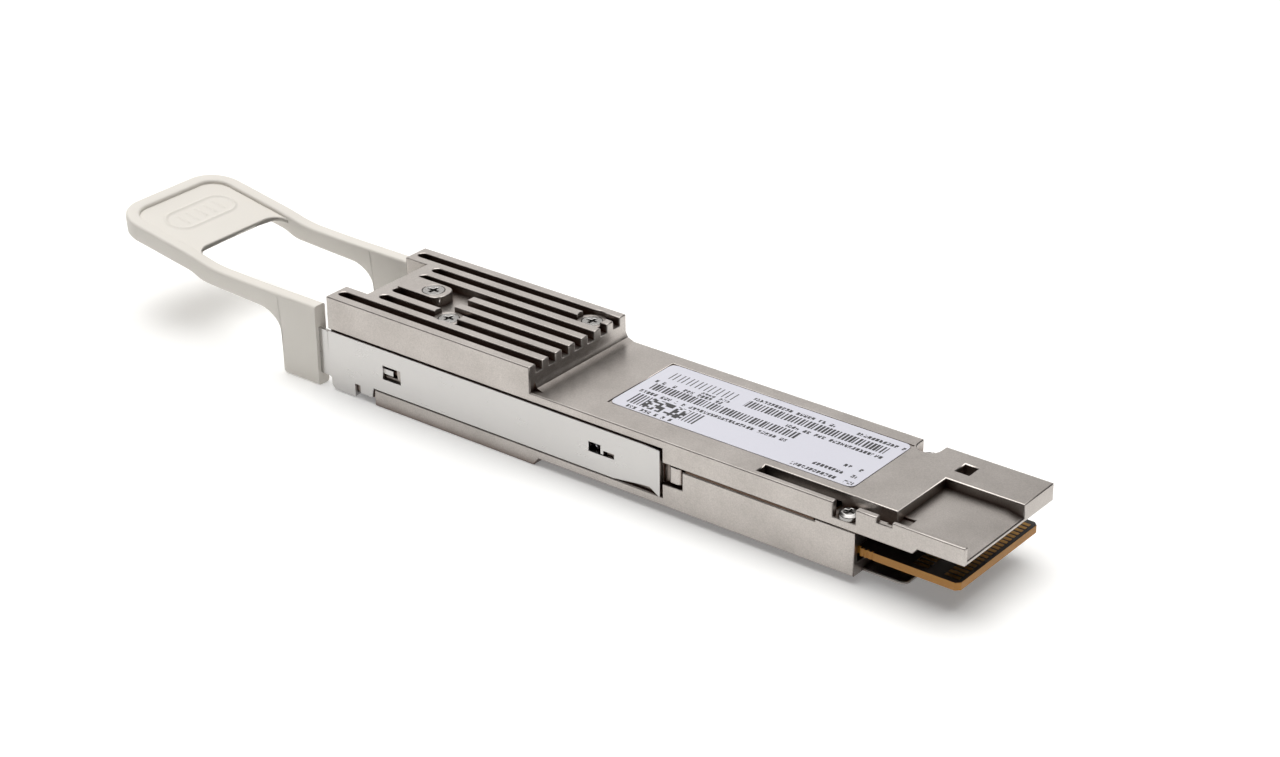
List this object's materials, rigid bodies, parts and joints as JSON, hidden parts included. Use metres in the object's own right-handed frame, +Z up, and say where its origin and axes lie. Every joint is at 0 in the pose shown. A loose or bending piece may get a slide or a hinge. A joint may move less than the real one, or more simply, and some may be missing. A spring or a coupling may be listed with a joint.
{
  "type": "optical transceiver module",
  "caption": "Slim pluggable optical transceiver with a finned nose heat sink, latch slider, loop-shaped pull tab, rear guard tongue and edge-contact paddle card.",
  "frame": {"origin": "middle of the base: the centre of the bounding box in X and Y, at the height of the surface that the module lies on", "axes": "+X is the way the module goes into its cage (the card edge end), -X is the pull tab, +Z is up through the heat sink fins, Y is across the module"},
  "size_m": [0.1318, 0.0188, 0.0144],
  "materials": {
    "cast_zinc": "satin nickel-plated die-cast zinc, warm grey",
    "sheet_steel": "fine-brushed stainless sheet",
    "screw_steel": "bright plated",
    "spring_steel": "drawn wire",
    "tab_plastic": "fine matt moulded, off-white",
    "card_laminate": "solder-masked laminate with orange-tan cut edges",
    "chip_resin": "black moulded resin",
    "gold_can": "gold-plated package",
    "port_plastic": "black moulded",
    "zirconia": "ground white ceramic",
    "fibre_jacket": "smooth yellow jacket",
    "polyimide": "amber film",
    "gap_pad": "soft grey-blue gap filler",
    "gasket": "conductive elastomer",
    "label_film": "satin white printed film",
    "ferrite": "dark moulded ferrite",
    "capacitor_ceramic": "tan ceramic"
  },
  "bodies": {
    "housing": {"top_shell": "cast_zinc", "bottom_shell": "cast_zinc", "front_heat_sink_screw": "screw_steel", "middle_heat_sink_screw": "screw_steel", "rear_heat_sink_screw": "screw_steel", "near_shell_screw": "screw_steel", "far_shell_screw": "screw_steel", "near_return_spring": "spring_steel", "far_return_spring": "spring_steel", "paddle_card": "card_laminate", "signal_processor": "chip_resin", "microcontroller": "chip_resin", "power_regulator": "chip_resin", "modulator_driver": "chip_resin", "clock_oscillator": "gold_can", "power_inductor_1": "ferrite", "power_inductor_2": "ferrite", "power_inductor_3": "ferrite", "bulk_capacitor_1": "capacitor_ceramic", "bulk_capacitor_2": "capacitor_ceramic", "bulk_capacitor_3": "capacitor_ceramic", "bulk_capacitor_4": "capacitor_ceramic", "processor_thermal_pad": "gap_pad", "optics_thermal_pad": "gap_pad", "laser_thermal_pad": "gap_pad", "coherent_optics_assembly": "gold_can", "tunable_laser": "gold_can", "flex_circuit": "polyimide", "fibre_receptacle": "port_plastic", "transmit_ferrule_sleeve": "zirconia", "receive_ferrule_sleeve": "zirconia", "transmit_fibre": "fibre_jacket", "receive_fibre": "fibre_jacket", "laser_fibre": "fibre_jacket", "near_gasket": "gasket", "far_gasket": "gasket", "top_label": "label_film"},
    "slider": {"latch_slider": "sheet_steel", "pull_tab": "tab_plastic"}
  },
  "joints": [
    {"name": "latch_slide", "type": "slide", "parent": "housing", "child": "slider", "axis": [-1, 0, 0], "range_m": [0, 0.0025], "stiffness_N_per_m": 300, "springref_m": -0.0015, "deforming": ["near_return_spring", "far_return_spring"]}
  ]
}
